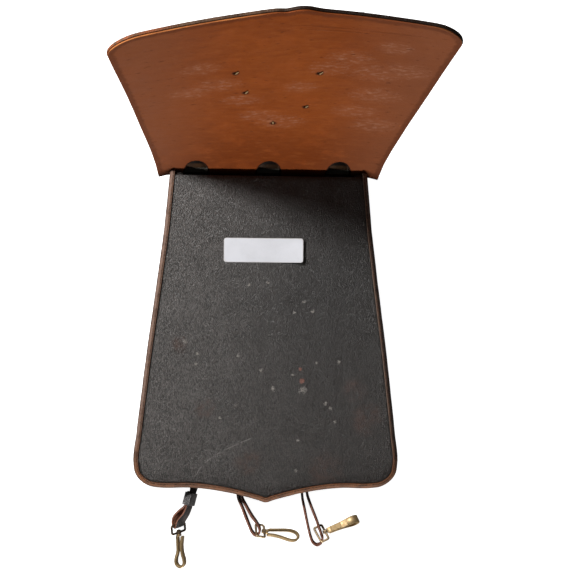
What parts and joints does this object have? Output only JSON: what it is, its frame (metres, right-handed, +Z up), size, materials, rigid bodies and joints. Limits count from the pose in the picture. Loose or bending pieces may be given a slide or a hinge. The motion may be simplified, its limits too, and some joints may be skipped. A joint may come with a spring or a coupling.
{
  "type": "sabretache",
  "caption": "Flat leather sabretache lying on its back, its cover flap folded open and standing, with carrying slings that end in brass swivel snap hooks.",
  "frame": {"origin": "middle of the object's foot: the centre of its bounding box, on the surface that it lies on", "axes": "+X across the pouch to the right as seen from above, +Y from the pouch's pointed foot to its hinge, +Z up"},
  "size_m": [0.2938, 0.5108, 0.3257],
  "materials": {
    "black_leather": "dull, worn",
    "pebbled_leather": "pebbled, dull sheen",
    "tan_edge": "raw cut edge, stitched",
    "tan_lining": "smooth, rubbed",
    "strap_leather": "worn black grain side, brown flesh side",
    "paper": "matt paper",
    "brass": "aged, rubbed bright on edges",
    "dark_wire": "darkened wire"
  },
  "bodies": {
    "bag": {"back_panel": "black_leather", "gusset": "black_leather", "gusset_flange": "black_leather", "front_panel": "pebbled_leather", "edge_welt": "tan_edge", "paper_label": "paper", "flap_outer": "black_leather", "flap_lining": "tan_lining", "prong_1": "brass", "prong_2": "brass", "prong_3": "brass", "prong_4": "brass", "prong_5": "brass", "ring_tab_left": "black_leather", "ring_tab_middle": "black_leather", "ring_tab_right": "black_leather", "ring_left": "dark_wire", "ring_middle": "dark_wire", "ring_right": "dark_wire", "sling_left": "strap_leather", "sling_middle": "strap_leather", "sling_right": "strap_leather", "keeper_left": "black_leather", "frame_left": "dark_wire", "frame_middle": "dark_wire", "frame_right": "dark_wire"},
    "left_snap_hook": {"hook_left": "brass"},
    "middle_snap_hook": {"hook_middle": "brass"},
    "right_snap_hook": {"hook_right": "brass"}
  },
  "joints": [
    {"name": "left_swivel", "type": "hinge", "parent": "bag", "child": "left_snap_hook", "pos_m": [-0.0868, -0.2189, 0.00741], "axis": [0.0522, -0.9956, -0.0785], "continuous": true},
    {"name": "middle_swivel", "type": "hinge", "parent": "bag", "child": "middle_snap_hook", "pos_m": [-0.0003, -0.2176, 0.00881], "axis": [0.9766, -0.1792, -0.1193], "continuous": true},
    {"name": "right_swivel", "type": "hinge", "parent": "bag", "child": "right_snap_hook", "pos_m": [0.0618, -0.2181, 0.00701], "axis": [0.9316, 0.3632, -0.0166], "continuous": true}
  ]
}
